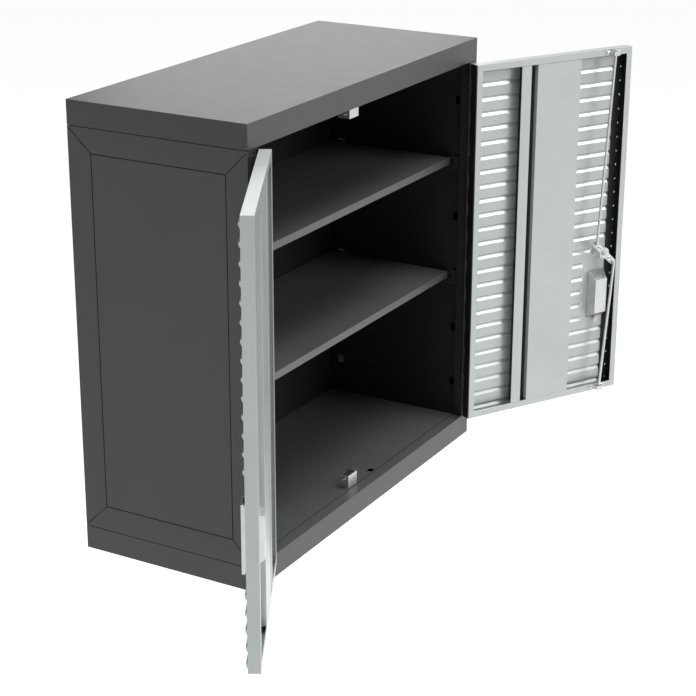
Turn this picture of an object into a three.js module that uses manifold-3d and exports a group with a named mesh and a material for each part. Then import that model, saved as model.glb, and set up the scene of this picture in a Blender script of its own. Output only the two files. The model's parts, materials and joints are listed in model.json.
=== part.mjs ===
// Hanging wall cabinet: a double-walled sheet-steel box with a lid cap and a base cap, two shelves and two
// inset doors on continuous hinges. The right door carries a key lock with a cam and two rods.
// Millimetres, +Z up, the doors face -Y. The origin is the centre of the upper hanging rail's rear face,
// which lies on the wall.
import * as THREE from "three";
import { mergeVertices } from "three/addons/utils/BufferGeometryUtils.js";
import { ConvexGeometry } from "three/addons/geometries/ConvexGeometry.js";
import Module from "manifold-3d";

const wasm = await Module();
wasm.setup();

// ---------------------------------------------------------------- driving dimensions
// Cabinet body
const WIDTH = 762;
const HEIGHT = 758;
const DEPTH = 328;
const SHEET = 1; // steel sheet
const GAP = 0.3; // air between touching pieces
const CAP_HEIGHT = 40; // lid and base
const SEAM = 0.8; // seam between a cap and the sides
const WALL = 25.7; // double side wall, outer skin to inner face
const BACK_SPACE = 40; // behind the back panel, for the hanging rails
const CAP_FLANGE = 14; // turned in at the top and bottom of a side panel
const BORDER = 39; // sloping border round a pressed panel
const PRESS = 3; // how far a panel's middle is pressed in
const CAP_FRONT = 20; // front flange of the lid and the base
const CAP_RIM = 12; // flange at the ends and the back
const CAP_HEM = 14; // turned in round the opening
const ROD_HOLE = 12; // in the floor and ceiling panels

// Shelves and their clips
const SHELF_LEVELS = { lower: 325, upper: 541 }; // top faces
const SLOT_PITCH = 108; // between clip slots
const SHELF_LIP = 13;
const SHELF_SETBACK = 35; // shelf front to cabinet front
const SHELF_END_GAP = 2.8; // shelf end to liner
const SHELF_RETURN = 10; // bottom return of the front lip
const SLOT_WIDTH = 11;
const SLOT_HEIGHT = 15;
const SLOT_INSET = 23; // slot centre from the liner's front and rear ends
const CLIP_TAB = 12;

// Hanging rails
const RAIL_INSET = 128; // each rail's centre to the nearer end of the cabinet
const RAIL_HEIGHT = 60;
const RAIL_FOOT = 12;
const STUD_SPACING = 406.4; // wall screws, left to right
const WALL_SCREW_RADIUS = 4.5;

// Doors and hinges
const RIGHT_OPEN = 150.5; // degrees from closed
const LEFT_OPEN = 152;
const DOOR_GAP = 2.2; // above and below a door
const MEETING_GAP = 5; // between the closed doors
const DOOR_DEPTH = 19;
const DOOR_LIP = 12;
const PIN_INSET = 2.4; // hinge axis from the opening's side
const PIN_FORWARD = 1; // hinge axis in front of the cabinet's face
const PIN_RADIUS = 1;
const KNUCKLE_RADIUS = 2.3;
const KNUCKLE_PITCH = 28;
const KNUCKLE_SIDES = 8;
const LEAF = 1;
const LEAF_WIDTH = 17;

// Door ribs and stiffener
const RIB_PITCH = 27;
const RIB_DEPTH = 2.5;
const RIB_BASE = 10;
const RIB_CREST = 3;
const RIB_RISE = 1.5; // crest above the rib's middle
const RIB_END = 10; // clear of the door's top and bottom
const STIFFENER_START = 100; // from the hinge axis
const STIFFENER_LIP = 21;
const STIFFENER_GROOVE = 15;
const STIFFENER_PANEL = 97;
const STIFFENER_FOOT = 11;
const EDGE_STRIP_WIDTH = 24;
const EDGE_STRIP = 1.5;

// Recessed pull
const PULL_FROM_EDGE = 45.4; // pull centre from the door's free edge
const CUP_WIDTH = 38;
const CUP_HEIGHT = 94;
const CUP_DEPTH = 24; // behind the door's outer face
const CUP_TAPER = 14; // each end, mouth to bottom
const CUP_SIDE_TAPER = 9;
const CUP_BOTTOM_Z = 190;
const FLANGE_MARGIN = 7;
const FLANGE_END = 12;
const FLANGE = 1.5;
const LEVER_WIDTH = 30;
const LEVER_WALL = 1.8;
const LEVER_HEIGHT = 107;
const LEVER_STAND = 6.7; // lever face in front of the pan flange
const PULL_PIN_RADIUS = 0.9;
const PULL_PIN_STAND = 2.3; // pull pin axis in front of the flange
const LUG_WIDTH = 2.5;
const PAN_NUT_RADIUS = 5;

// Lock
const LOCK_ABOVE_CUP = 39; // lock axis above the cup's mouth
const LOCK_BARREL_RADIUS = 9.2;
const ROSETTE_RADIUS = 13;
const PLUG_RADIUS = 6.5;
const STUB_RADIUS = 3.5;
const CAM_ARM = 29.8; // lock axis to rod pivot
const CAM_ANGLE = 136.6; // upper arm, degrees from the free edge's direction, seen from inside
const CAM_SHEET = 2;
const CAM_EYE = 6;
const HOOK_RADIUS = 2.4;
const ROD_RADIUS = 2.7;
const ROD_BACK = 28; // rod axis behind the hinge axis
const ROD_TOP_GAP = 1.3; // upper rod's end below the door's top
const ROD_BOTTOM_GAP = 1.5;
const GUIDE_HEIGHT = 8;
const GUIDE_SHEET = 1.2;
const GUIDE_INNER = 10.8;
const GUIDE_FOOT = 11;

// Catches that hold the left door
const CATCH_X = -27; // behind the left door's free edge
const CATCH_SETBACK = DOOR_DEPTH + 2.5; // just behind the closed door
const CATCH_WIDTH = 29.7;
const CATCH_HEIGHT = 23;
const CATCH_DEPTH = 21;
const CATCH_SHEET = 1.2;
const CATCH_PIN_RADIUS = 1.7;
const CATCH_PIN_OVERHANG = 5;

// ---------------------------------------------------------------- places worked out from them
const UPPER_RAIL_Z = HEIGHT - RAIL_INSET;
const LOWER_RAIL_Z = RAIL_INSET;
const HALF = WIDTH / 2;
const INSIDE = HALF - WALL; // liner's inner face
const SIDE_BOTTOM = CAP_HEIGHT + SEAM;
const SIDE_TOP = HEIGHT - CAP_HEIGHT - SEAM;
const BACK_Y = DEPTH - BACK_SPACE; // rear face of the back panel
const PANEL_FACE = CAP_HEIGHT + GAP + SHEET; // floor's upper face from below, ceiling's lower face from above
const DOOR_BOTTOM = CAP_HEIGHT + DOOR_GAP;
const DOOR_TOP = HEIGHT - CAP_HEIGHT - DOOR_GAP;
const PIN_X = INSIDE - PIN_INSET;
const DOOR_START = PIN_INSET + GAP - SHEET + LEAF; // door's hinge edge from the pin axis
const DOOR_END = PIN_X - MEETING_GAP / 2;
const SKIN = PIN_FORWARD; // door's outer face behind the pin axis
const DOOR_BACK = SKIN + DOOR_DEPTH;
const PULL_U = DOOR_END - PULL_FROM_EDGE;
const CUP_TOP_Z = CUP_BOTTOM_Z + CUP_HEIGHT;
const LOCK_U = PULL_U + 0.7;
const LOCK_Z = CUP_TOP_Z + LOCK_ABOVE_CUP;
const FLANGE_FACE = SKIN - GAP - FLANGE;
const PULL_PIN_V = FLANGE_FACE - PULL_PIN_STAND;
const PULL_PIN_Z = CUP_TOP_Z + 4.5;
const CAM_V = 22.6;
const degrees = THREE.MathUtils.degToRad;

const finishes = {
  body: new THREE.MeshStandardMaterial({ color: 0x464745, roughness: 0.42, metalness: 0.35 }),
  interior: new THREE.MeshStandardMaterial({ color: 0x2b2c2b, roughness: 0.4, metalness: 0.3 }),
  door: new THREE.MeshStandardMaterial({ color: 0xbcc2bf, roughness: 0.38, metalness: 0.55 }),
  zinc: new THREE.MeshStandardMaterial({ color: 0xc8cbc9, roughness: 0.28, metalness: 0.9 }),
  black: new THREE.MeshStandardMaterial({ color: 0x0e1110, roughness: 0.6, metalness: 0.0 }),
};

// ---------------------------------------------------------------- solids
function solid(geometry) {
  const bare = new THREE.BufferGeometry();
  const loose = geometry.index ? geometry.toNonIndexed() : geometry;
  bare.setAttribute("position", loose.getAttribute("position"));
  const merged = mergeVertices(bare, 1e-4);
  return new wasm.Manifold(
    new wasm.Mesh({
      numProp: 3,
      vertProperties: merged.attributes.position.array,
      triVerts: new Uint32Array(merged.index.array),
    }),
  );
}

function block(x0, x1, y0, y1, z0, z1) {
  const shape = new THREE.BoxGeometry(x1 - x0, y1 - y0, z1 - z0);
  shape.translate((x0 + x1) / 2, (y0 + y1) / 2, (z0 + z1) / 2);
  return solid(shape);
}

// A round bar between two points.
function bar(from, to, radius, sides = 12) {
  const start = new THREE.Vector3(...from);
  const run = new THREE.Vector3(...to).sub(start);
  const shape = new THREE.CylinderGeometry(radius, radius, run.length(), sides);
  shape.translate(0, run.length() / 2, 0);
  const up = new THREE.Vector3(0, 1, 0);
  shape.applyQuaternion(new THREE.Quaternion().setFromUnitVectors(up, run.normalize()));
  shape.translate(start.x, start.y, start.z);
  return solid(shape);
}

// An outline in the (y, z) plane swept from x0 to x1.
function alongX(outline, x0, x1) {
  const shape = new THREE.Shape(outline.map(([y, z]) => new THREE.Vector2(y, z)));
  const swept = new THREE.ExtrudeGeometry(shape, { depth: x1 - x0, bevelEnabled: false });
  const turn = new THREE.Matrix4().makeBasis(
    new THREE.Vector3(0, 1, 0),
    new THREE.Vector3(0, 0, 1),
    new THREE.Vector3(1, 0, 0),
  );
  return solid(swept.applyMatrix4(turn).translate(x0, 0, 0));
}

// An outline in the (x, y) plane swept from z0 to z1.
function alongZ(outline, z0, z1) {
  const shape = new THREE.Shape(outline.map(([x, y]) => new THREE.Vector2(x, y)));
  const swept = new THREE.ExtrudeGeometry(shape, { depth: z1 - z0, bevelEnabled: false });
  return solid(swept.translate(0, 0, z0));
}

// The outline of folded sheet of one thickness, from the line of its middle.
function folded(line, thickness) {
  const points = line.map(([a, b]) => new THREE.Vector2(a, b));
  const left = [];
  const right = [];
  points.forEach((point, i) => {
    const before = point.clone().sub(points[Math.max(i - 1, 0)]).normalize();
    const after = points[Math.min(i + 1, points.length - 1)].clone().sub(point).normalize();
    const run = before.clone().add(after).normalize();
    const normal = new THREE.Vector2(-run.y, run.x);
    const edge = i === 0 ? after : before;
    const half = thickness / 2 / Math.abs(normal.dot(new THREE.Vector2(-edge.y, edge.x)));
    left.push(point.clone().addScaledVector(normal, half).toArray());
    right.unshift(point.clone().addScaledVector(normal, -half).toArray());
  });
  return [...left, ...right];
}

// A shallow dish: a full rectangle at one level, a rectangle inset by the border at the other.
// place(level, a, b) turns a level and a position on the panel into a point. A straight collar carries the
// mouth half a sheet further out.
function dish(place, mouth, middle, [a0, a1], [b0, b1], border) {
  const corners = [];
  const collar = mouth - (Math.sign(middle - mouth) * SHEET) / 2;
  for (const [level, inset] of [[collar, 0], [mouth, 0], [middle, border]])
    for (const a of [a0 + inset, a1 - inset])
      for (const b of [b0 + inset, b1 - inset]) corners.push(new THREE.Vector3(...place(level, a, b)));
  return solid(new ConvexGeometry(corners));
}

const join = (first, ...others) => others.reduce((whole, next) => whole.add(next), first);
const cut = (first, ...others) => others.reduce((whole, next) => whole.subtract(next), first);

// A named mesh. A mirrored one is the same piece made for the other side.
function piece(name, body, finish, mirrored = false) {
  const mesh = body.getMesh();
  const positions = Float32Array.from(mesh.vertProperties);
  const corners = Uint32Array.from(mesh.triVerts);
  if (mirrored) {
    for (let i = 0; i < positions.length; i += 3) positions[i] = -positions[i];
    for (let i = 0; i < corners.length; i += 3)
      [corners[i + 1], corners[i + 2]] = [corners[i + 2], corners[i + 1]];
  }
  const geometry = new THREE.BufferGeometry();
  geometry.setAttribute("position", new THREE.BufferAttribute(positions, 3));
  geometry.setIndex(new THREE.BufferAttribute(corners, 1));
  geometry.computeVertexNormals();
  const made = new THREE.Mesh(geometry, finish);
  made.name = name;
  return made;
}

// ---------------------------------------------------------------- body panels (left side is -X)
const onSide = (level, a, b) => [level, a, b];
const onBack = (level, a, b) => [a, level, b];

// The lid is measured downwards from the top, the base upwards from the underside.
const fromTop = (height) => HEIGHT - height;
const fromBottom = (height) => height;
const levelSpan = (level, from, to) => [level(from), level(to)].sort((a, b) => a - b);

// A cap: a shallow box with a hemmed opening in its inner face.
function makeCap(level) {
  const box = (half, front, back, from, to) => block(-half, half, front, back, ...levelSpan(level, from, to));
  const shell = box(HALF, 0, DEPTH, 0, CAP_HEIGHT);
  const hollow = box(HALF - SHEET, SHEET, DEPTH - SHEET, SHEET, CAP_HEIGHT - SHEET);
  const back = BACK_Y - SHEET - CAP_RIM;
  const half = INSIDE - CAP_RIM;
  const hem = box(half + SHEET, CAP_FRONT - SHEET, back + SHEET, CAP_HEIGHT - CAP_HEM, CAP_HEIGHT);
  const mouth = box(half, CAP_FRONT, back, CAP_HEIGHT - CAP_HEM - 1, CAP_HEIGHT + 1);
  return cut(join(cut(shell, hollow), hem), mouth);
}

function makeSidePanel() {
  const middle = -HALF + SHEET / 2;
  const [front, back] = [SHEET / 2, DEPTH - SHEET / 2];
  const line = [[-INSIDE, front], [middle, front], [middle, back], [-INSIDE, back]];
  const channel = alongZ(folded(line, SHEET), SIDE_BOTTOM, SIDE_TOP);
  const across = [2 * SHEET, DEPTH - 2 * SHEET];
  const upward = [SIDE_BOTTOM + 2 * SHEET, SIDE_TOP - 2 * SHEET];
  const recess = dish(onSide, -HALF, -HALF + PRESS, across, upward, BORDER);
  const bulge = dish(onSide, -HALF + SHEET, -HALF + SHEET + PRESS, across, upward, BORDER);
  const turnIn = -HALF + CAP_FLANGE;
  const floorFlange = block(-HALF, turnIn, 0, DEPTH, SIDE_BOTTOM, SIDE_BOTTOM + SHEET);
  const lidFlange = block(-HALF, turnIn, 0, DEPTH, SIDE_TOP - SHEET, SIDE_TOP);
  return cut(join(channel, bulge, floorFlange, lidFlange), recess);
}

// Heights of the clip slots: every level a shelf can have.
function slotLevels() {
  const levels = [];
  const lowest = PANEL_FACE + SLOT_PITCH / 3;
  const highest = SIDE_TOP - SLOT_PITCH / 3;
  for (let z = SHELF_LEVELS.lower; z > lowest; z -= SLOT_PITCH) levels.unshift(z);
  for (let z = SHELF_LEVELS.lower + SLOT_PITCH; z < highest; z += SLOT_PITCH) levels.push(z);
  return levels;
}

const LINER_FRONT = SHEET + GAP;
const LINER_BACK = BACK_Y - SHEET - GAP;
const SLOT_YS = { front: SLOT_INSET, rear: LINER_BACK - SLOT_INSET };

function makeLiner() {
  const bottom = CAP_HEIGHT + GAP;
  const top = HEIGHT - CAP_HEIGHT - GAP;
  const outer = -INSIDE - SHEET;
  const sheet = block(outer, -INSIDE, LINER_FRONT, BACK_Y, bottom, top);
  const across = [LINER_FRONT + SHEET, LINER_BACK - SHEET];
  const upward = [bottom + SHEET, top - SHEET];
  const recess = dish(onSide, -INSIDE, -INSIDE - PRESS, across, upward, BORDER);
  const bulge = dish(onSide, outer, outer - PRESS, across, upward, BORDER);
  const slots = [];
  for (const z of slotLevels())
    for (const y of Object.values(SLOT_YS))
      slots.push(
        block(outer - PRESS - SHEET, -INSIDE + SHEET, y - SLOT_WIDTH / 2, y + SLOT_WIDTH / 2,
          z - SLOT_HEIGHT / 2 - 2, z + SLOT_HEIGHT / 2 - 2),
      );
  return cut(join(sheet, bulge), recess, ...slots);
}

function wallScrewHoles(z) {
  return [-1, 1].map((side) => {
    const x = (side * STUD_SPACING) / 2;
    return bar([x, BACK_Y - 2 * PRESS, z], [x, DEPTH + SHEET, z], WALL_SCREW_RADIUS);
  });
}

function makeBackPanel() {
  const half = INSIDE - GAP;
  const bottom = CAP_HEIGHT + GAP;
  const top = HEIGHT - CAP_HEIGHT - GAP;
  const sheet = block(-half, half, BACK_Y - SHEET, BACK_Y, bottom, top);
  const across = [-half + SHEET, half - SHEET];
  const upward = [bottom + SHEET, top - SHEET];
  const recess = dish(onBack, BACK_Y - SHEET, BACK_Y - SHEET + PRESS, across, upward, BORDER);
  const bulge = dish(onBack, BACK_Y, BACK_Y + PRESS, across, upward, BORDER);
  const holes = [...wallScrewHoles(UPPER_RAIL_Z), ...wallScrewHoles(LOWER_RAIL_Z)];
  return cut(join(sheet, bulge), recess, ...holes);
}

// The floor lies on the base's rim and the ceiling under the lid's, each with a hole for a lock rod.
function makeCover(level) {
  const half = INSIDE - GAP;
  const [low, high] = levelSpan(level, CAP_HEIGHT + GAP, PANEL_FACE);
  const sheet = block(-half, half, CAP_FRONT + GAP, BACK_Y - SHEET - GAP, low, high);
  const rodX = PIN_X - LOCK_U;
  const rodY = ROD_BACK - PIN_FORWARD;
  const reach = ROD_HOLE / 2;
  return cut(sheet, block(rodX - reach, rodX + reach, rodY - reach + 1, rodY + reach, low - 1, high + 1));
}

// A hat section: two feet on the back panel, two webs, and the face that lies on the wall.
function makeHangingRail(z) {
  const half = RAIL_HEIGHT / 2;
  const foot = BACK_Y + PRESS + GAP + SHEET / 2;
  const face = DEPTH - SHEET / 2;
  const line = [
    [foot, z - half - RAIL_FOOT],
    [foot, z - half],
    [face, z - half],
    [face, z + half],
    [foot, z + half],
    [foot, z + half + RAIL_FOOT],
  ];
  const reach = INSIDE - 2 * GAP;
  return cut(alongX(folded(line, SHEET), -reach, reach), ...wallScrewHoles(z));
}

// ---------------------------------------------------------------- shelves
function makeShelf(level) {
  const half = INSIDE - SHELF_END_GAP;
  const back = LINER_BACK - 2 * GAP;
  const bottom = level - SHELF_LIP;
  const front = SHELF_SETBACK;
  const shell = block(-half, half, front, back, bottom, level);
  const hollow = block(-half + SHEET, half - SHEET, front + SHEET, back - SHEET, bottom - 1, level - SHEET);
  const lip = block(-half, half, front, front + SHELF_RETURN, bottom, bottom + SHEET);
  return join(cut(shell, hollow), lip);
}

// A bent clip for the left wall: a plate on the liner, a hook in its slot and a tab under the shelf.
function makeClip(level, end) {
  const y = SLOT_YS[end];
  const inward = end === "front" ? 1 : -1;
  const under = end === "front" ? SHELF_SETBACK + SHEET : LINER_BACK - 2 * GAP - SHEET;
  const tabTop = level - SHELF_LIP - GAP;
  const farEnd = under + inward * (CLIP_TAB + SHELF_RETURN);
  const span = (a, b) => [Math.min(a, b), Math.max(a, b)];
  const face = -INSIDE + GAP;
  const plate = block(face, face + SHEET, ...span(y - inward * 4, farEnd), tabTop - CLIP_TAB, tabTop);
  const tab = block(face, face + CLIP_TAB, ...span(under, farEnd), tabTop - SHEET, tabTop);
  const neck = block(face, face + SHEET, y - 4, y + 4, tabTop - CLIP_TAB, level);
  const hook = block(-INSIDE - 2 * SHEET, face + SHEET, y - 4, y + 4, level - 5, level + 3);
  return join(plate, tab, neck, hook);
}

// ---------------------------------------------------------------- catches
// A catch is measured from the panel it stands on.
const catchPlaces = {
  upper: (height) => fromTop(PANEL_FACE + GAP + height),
  lower: (height) => fromBottom(PANEL_FACE + GAP + height),
};

function makeCatchBracket(place) {
  const x0 = CATCH_X - CATCH_WIDTH / 2;
  const x1 = CATCH_X + CATCH_WIDTH / 2;
  const y0 = CATCH_SETBACK;
  const y1 = y0 + CATCH_DEPTH;
  const [low, high] = levelSpan(place, 0, CATCH_HEIGHT);
  const [floorLow, floorHigh] = levelSpan(place, 0, CATCH_SHEET);
  const wrap = block(x0, x1, y0, y1, low, high);
  const room = block(x0 + CATCH_SHEET, x1 - CATCH_SHEET, y0 + CATCH_SHEET, y1 + 1, low - 1, high + 1);
  const foot = block(x0, x1, y0, y1, floorLow, floorHigh);
  return cut(join(cut(wrap, room), foot), catchPinBar(place, CATCH_PIN_RADIUS + GAP, 1));
}

function catchPinBar(place, radius, extra = 0) {
  const y = CATCH_SETBACK + CATCH_DEPTH * 0.4;
  const z = place(CATCH_HEIGHT * 0.68);
  const reach = CATCH_WIDTH / 2 + CATCH_PIN_OVERHANG + extra;
  return bar([CATCH_X - reach, y, z], [CATCH_X + reach, y, z], radius);
}

function makeMagnet(place) {
  const inset = CATCH_SHEET + 1;
  const x0 = CATCH_X - CATCH_WIDTH / 2 + inset;
  const x1 = CATCH_X + CATCH_WIDTH / 2 - inset;
  const y0 = CATCH_SETBACK + CATCH_SHEET + GAP;
  const [low, high] = levelSpan(place, CATCH_SHEET + GAP, CATCH_HEIGHT * 0.86);
  const bulk = block(x0, x1, y0, y0 + CATCH_DEPTH * 0.7, low, high);
  return cut(bulk, catchPinBar(place, CATCH_PIN_RADIUS + GAP, 1));
}

// ---------------------------------------------------------------- hinges (cabinet frame, left side)
function knuckleSpans(own) {
  const count = Math.floor((DOOR_TOP - DOOR_BOTTOM) / KNUCKLE_PITCH);
  const length = (DOOR_TOP - DOOR_BOTTOM) / count;
  const spans = [];
  for (let i = 0; i < count; i += 1)
    if (i % 2 === own) spans.push([DOOR_BOTTOM + i * length, DOOR_BOTTOM + (i + 1) * length]);
  return spans;
}

// A hinge leaf about an axis at the local origin: a plate, every other knuckle, and a bore for the pin.
function makeLeaf(own, plateX, plateWidth) {
  const plate = block(plateX, plateX + LEAF, 0, plateWidth, DOOR_BOTTOM, DOOR_TOP);
  const air = knuckleSpans(1 - own).map(([low, high]) =>
    bar([0, 0, low - GAP / 2], [0, 0, high + GAP / 2], KNUCKLE_RADIUS + 2 * GAP, KNUCKLE_SIDES),
  );
  const tubes = knuckleSpans(own).map(([low, high]) =>
    bar([0, 0, low + GAP / 2], [0, 0, high - GAP / 2], KNUCKLE_RADIUS, KNUCKLE_SIDES),
  );
  const bore = bar([0, 0, DOOR_BOTTOM - 1], [0, 0, DOOR_TOP + 1], PIN_RADIUS + GAP, KNUCKLE_SIDES);
  return cut(join(cut(plate, ...air), ...tubes), bore);
}

function makeHingePin() {
  return bar([0, 0, DOOR_BOTTOM], [0, 0, DOOR_TOP], PIN_RADIUS, KNUCKLE_SIDES);
}

// ---------------------------------------------------------------- door, in its own frame
// x is the distance from the hinge axis along the door, y is depth behind the axis, z is height.
function ribHeights() {
  const height = DOOR_TOP - DOOR_BOTTOM;
  const count = 2 * Math.floor((height / 2 - RIB_END) / RIB_PITCH) + 1;
  const middle = (DOOR_TOP + DOOR_BOTTOM) / 2;
  return Array.from({ length: count }, (_, i) => middle + (i - (count - 1) / 2) * RIB_PITCH);
}

// The ribbed section of the door, moved inwards by an inset.
function ribbedSection(inset) {
  const face = SKIN + inset;
  const section = [[DOOR_BACK - inset, DOOR_BOTTOM + inset], [face, DOOR_BOTTOM + inset]];
  for (const z of ribHeights()) {
    const base = RIB_BASE / 2 - inset / 3;
    const crest = RIB_CREST / 2 - inset / 3;
    section.push([face, z - base], [face - RIB_DEPTH, z + RIB_RISE - crest]);
    section.push([face - RIB_DEPTH, z + RIB_RISE + crest], [face, z + base]);
  }
  section.push([face, DOOR_TOP - inset], [DOOR_BACK - inset, DOOR_TOP - inset]);
  return section.reverse();
}

// Where the ribs stop short, so that the pull and the lock sit on flat sheet.
function flatZones(inset) {
  const face = SKIN + inset;
  const far = DOOR_END + 1;
  const pullStart = PULL_U - CUP_WIDTH / 2 - 2 * FLANGE_MARGIN + 2;
  const lockStart = LOCK_U - ROSETTE_RADIUS - 2;
  const pullLow = CUP_BOTTOM_Z - FLANGE_END - 2;
  const pullHigh = CUP_TOP_Z + FLANGE_END + RIB_PITCH / 2;
  const lockHigh = LOCK_Z + ROSETTE_RADIUS + 2;
  return [
    block(pullStart, far, face - 2 * RIB_DEPTH, face, pullLow, pullHigh),
    block(lockStart, far, face - 2 * RIB_DEPTH, face, pullHigh - 1, lockHigh),
  ];
}

function makeDoorSkin(withLock) {
  const outer = cut(alongX(ribbedSection(0), DOOR_START, DOOR_END), ...flatZones(0));
  const hollow = alongX(ribbedSection(SHEET), DOOR_START + SHEET, DOOR_END - SHEET);
  const inner = cut(hollow, ...flatZones(SHEET));
  const mouth = block(DOOR_START + DOOR_LIP, DOOR_END - DOOR_LIP, DOOR_DEPTH / 2, DOOR_BACK + 1,
    DOOR_BOTTOM + DOOR_LIP, DOOR_TOP - DOOR_LIP);
  const half = CUP_WIDTH / 2 + GAP;
  const [before, behind] = [SKIN - SHEET, SKIN + 2 * SHEET];
  const cupHole = block(PULL_U - half, PULL_U + half, before, behind, CUP_BOTTOM_Z - GAP, CUP_TOP_Z + GAP);
  const lockHole = bar([LOCK_U, before, LOCK_Z], [LOCK_U, behind, LOCK_Z], LOCK_BARREL_RADIUS + GAP, 16);
  const skin = cut(outer, inner, mouth, cupHole);
  return withLock ? cut(skin, lockHole) : skin;
}

function makeStiffener() {
  const high = DOOR_BACK - SHEET / 2;
  const low = SKIN + SHEET + GAP + SHEET / 2;
  const slope = 1.5;
  const lipEnd = STIFFENER_START + STIFFENER_LIP;
  const panelStart = lipEnd + STIFFENER_GROOVE;
  const panelEnd = panelStart + STIFFENER_PANEL;
  const line = [
    [STIFFENER_START, high],
    [lipEnd, high],
    [lipEnd + slope, low],
    [panelStart - slope, low],
    [panelStart, high],
    [panelEnd, high],
    [panelEnd + slope, low],
    [panelEnd + slope + STIFFENER_FOOT, low],
  ];
  return alongZ(folded(line, SHEET), DOOR_BOTTOM + DOOR_LIP + GAP, DOOR_TOP - DOOR_LIP - GAP);
}

function makeEdgeStrip() {
  const outer = DOOR_END - SHEET - GAP - EDGE_STRIP / 2;
  const face = SKIN + SHEET + GAP + EDGE_STRIP / 2;
  const line = [[outer - EDGE_STRIP_WIDTH, face], [outer, face], [outer, DOOR_BACK - SHEET - 2 * GAP]];
  return alongZ(folded(line, EDGE_STRIP), DOOR_BOTTOM + SHEET + GAP, DOOR_TOP - SHEET - GAP);
}

function makeDoorLeaf() {
  return makeLeaf(1, DOOR_START - GAP - LEAF, SKIN + LEAF_WIDTH);
}

// ---------------------------------------------------------------- recessed pull
function cupBlock(wall) {
  const mouth = wall ? FLANGE_FACE - 1 : SKIN - GAP;
  const bottom = SKIN + CUP_DEPTH - wall;
  const corners = [];
  const half = CUP_WIDTH / 2 - wall;
  for (const [v, side, end] of [[mouth, 0, wall], [bottom, CUP_SIDE_TAPER, CUP_TAPER + wall]])
    for (const u of [PULL_U - half + side / 4, PULL_U + half - side])
      for (const z of [CUP_BOTTOM_Z + end, CUP_TOP_Z - end]) corners.push(new THREE.Vector3(u, v, z));
  return solid(new ConvexGeometry(corners));
}

function pullPinBar(radius, reach) {
  const ends = [-reach, reach].map((offset) => [PULL_U + offset, PULL_PIN_V, PULL_PIN_Z]);
  return bar(...ends, radius);
}

function makePan() {
  const half = CUP_WIDTH / 2 + FLANGE_MARGIN;
  const flange = block(PULL_U - half, PULL_U + half, FLANGE_FACE, SKIN - GAP,
    CUP_BOTTOM_Z - FLANGE_END, CUP_TOP_Z + FLANGE_END);
  const lugs = [-1, 1].map((side) => {
    const middle = PULL_U + side * (LEVER_WIDTH / 2 - LEVER_WALL - LUG_WIDTH / 2 - 1);
    const radius = PULL_PIN_STAND - 2 * GAP + 0.5;
    const from = [middle - LUG_WIDTH / 2, PULL_PIN_V, PULL_PIN_Z];
    const to = [middle + LUG_WIDTH / 2, PULL_PIN_V, PULL_PIN_Z];
    const root = FLANGE_FACE + FLANGE / 2;
    const web = block(from[0], to[0], PULL_PIN_V, root, PULL_PIN_Z - radius, PULL_PIN_Z + radius);
    return join(bar(from, to, radius), web);
  });
  const drawn = cut(join(flange, cupBlock(0)), cupBlock(SHEET));
  return cut(join(drawn, ...lugs), pullPinBar(PULL_PIN_RADIUS + GAP, LEVER_WIDTH));
}

function makeLever() {
  const front = FLANGE_FACE - LEVER_STAND;
  const rear = FLANGE_FACE - 2 * GAP + 0.4;
  const top = PULL_PIN_Z + 2;
  const bottom = top - LEVER_HEIGHT;
  const reach = PULL_PIN_STAND - 0.2;
  const outline = [
    [front, bottom],
    [rear - 2, bottom],
    [rear, bottom + 4],
    [rear, PULL_PIN_Z],
    [PULL_PIN_V + reach * 0.71, PULL_PIN_Z + reach * 0.71],
    [PULL_PIN_V, top],
    [front, top],
  ];
  const half = LEVER_WIDTH / 2;
  const outer = alongX(outline, PULL_U - half, PULL_U + half);
  const inside = block(PULL_U - half + LEVER_WALL, PULL_U + half - LEVER_WALL, front + LEVER_WALL, rear + 1,
    bottom + LEVER_WALL, top + 1);
  return cut(outer, inside, pullPinBar(PULL_PIN_RADIUS + GAP, LEVER_WIDTH));
}

function makePullPin() {
  return pullPinBar(PULL_PIN_RADIUS, LEVER_WIDTH / 2 - GAP);
}

function makePanNut() {
  const z = CUP_BOTTOM_Z - FLANGE_END / 2;
  const face = SKIN + SHEET + GAP;
  return bar([PULL_U, face, z], [PULL_U, face + 4, z], PAN_NUT_RADIUS, 6);
}

// ---------------------------------------------------------------- lock
const lockBar = (from, to, radius, sides) => bar([LOCK_U, from, LOCK_Z], [LOCK_U, to, LOCK_Z], radius, sides);

function makeLockHousing() {
  const rosette = lockBar(SKIN - GAP - 3, SKIN - GAP, ROSETTE_RADIUS, 20);
  const barrel = lockBar(SKIN - GAP - 1, CAM_V - 2, LOCK_BARREL_RADIUS, 16);
  const bore = lockBar(SKIN - 6, CAM_V, PLUG_RADIUS + GAP, 16);
  return cut(join(rosette, barrel), bore);
}

function makeRingNut() {
  const face = SKIN + SHEET + GAP;
  const ring = lockBar(face, face + 4, LOCK_BARREL_RADIUS + 3.5, 6);
  return cut(ring, lockBar(face - 1, face + 5, LOCK_BARREL_RADIUS + GAP, 16));
}

function makePlug() {
  const nose = SKIN - GAP - 3.4;
  const barrel = lockBar(nose, CAM_V - GAP, PLUG_RADIUS, 16);
  const stub = lockBar(CAM_V - 1, CAM_V + 7, STUB_RADIUS, 12);
  const keyway = block(LOCK_U - 0.8, LOCK_U + 0.8, nose - 1, nose + 4, LOCK_Z - 3.5, LOCK_Z + 3.5);
  return cut(join(barrel, stub), keyway);
}

// The pivot of the upper (+1) or lower (-1) rod on the cam, as [x, z].
function camPivot(side) {
  const angle = degrees(CAM_ANGLE);
  return [LOCK_U + side * CAM_ARM * Math.cos(angle), LOCK_Z + side * CAM_ARM * Math.sin(angle)];
}

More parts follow.
